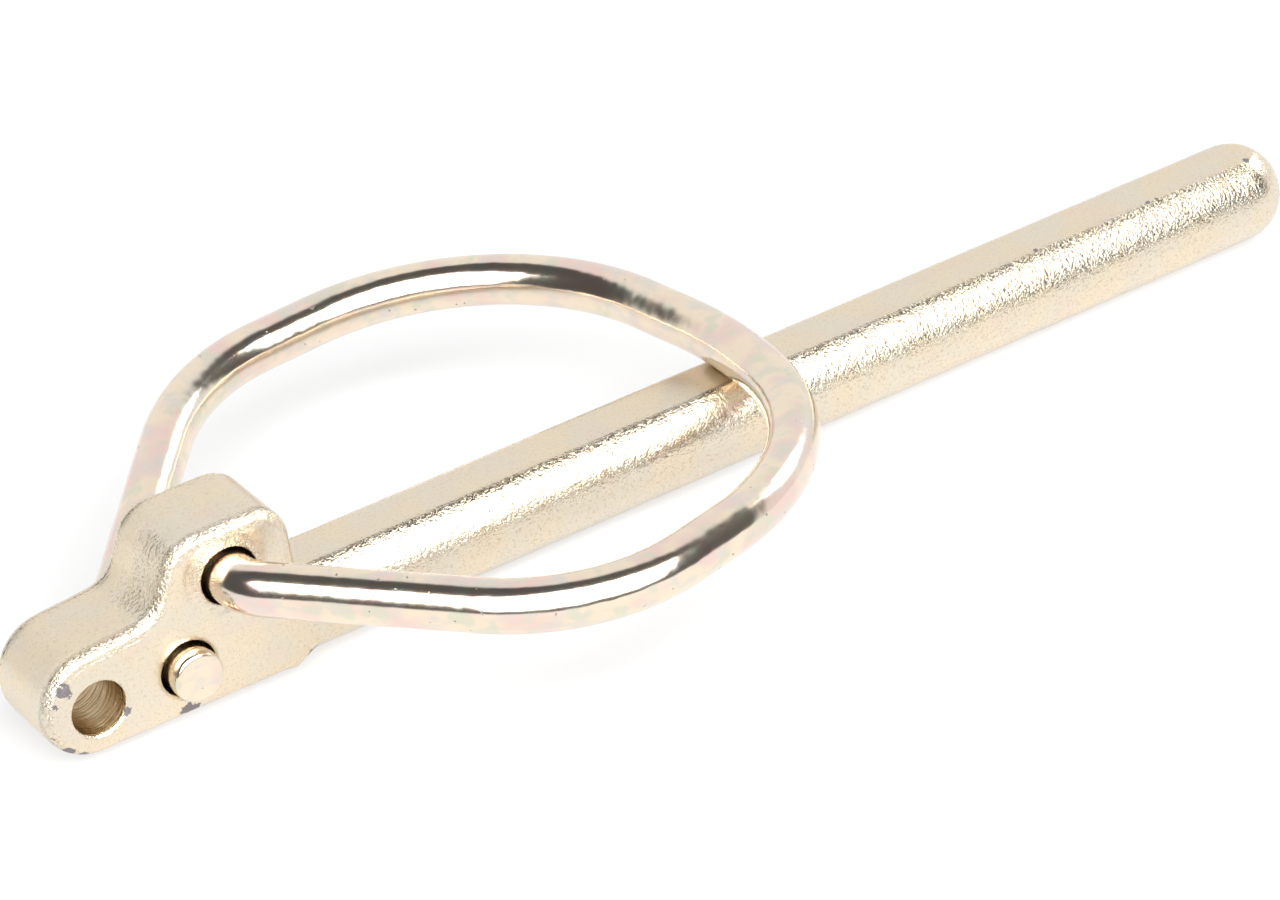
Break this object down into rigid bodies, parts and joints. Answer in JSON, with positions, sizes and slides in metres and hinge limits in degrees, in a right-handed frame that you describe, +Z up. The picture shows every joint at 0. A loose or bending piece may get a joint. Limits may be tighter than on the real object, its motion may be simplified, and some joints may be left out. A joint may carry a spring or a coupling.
{
  "type": "wire lock pin",
  "caption": "Forged steel lock pin with an eyed head and a spring-wire ring that snaps over the shank to keep the pin in place.",
  "frame": {"origin": "on the shank's axis, at the shoulder where the shank leaves the head", "axes": "+X along the shank from the head to the tip, +Z up in the plane of the head, +Y towards the face where the lower leg enters"},
  "size_m": [0.1701, 0.0773, 0.0217],
  "materials": {
    "plated_forging": "forged steel, zinc plated with a pale yellow passivation; fine-grained glittering skin, smoother trimmed bands, a few dark chips",
    "plated_wire": "smooth drawn spring wire, bright zinc plated with a faint pink, green and yellow sheen"
  },
  "bodies": {
    "pin": {"pin_body": "plated_forging"},
    "ring": {"wire_ring": "plated_wire"}
  },
  "joints": [
    {"name": "ring_swing", "type": "hinge", "parent": "pin", "child": "ring", "pos_m": [-0.01168, 0, 0.00533], "axis": [0, -1, 0], "range_deg": [0, 180], "deforming": ["wire_ring"]}
  ]
}
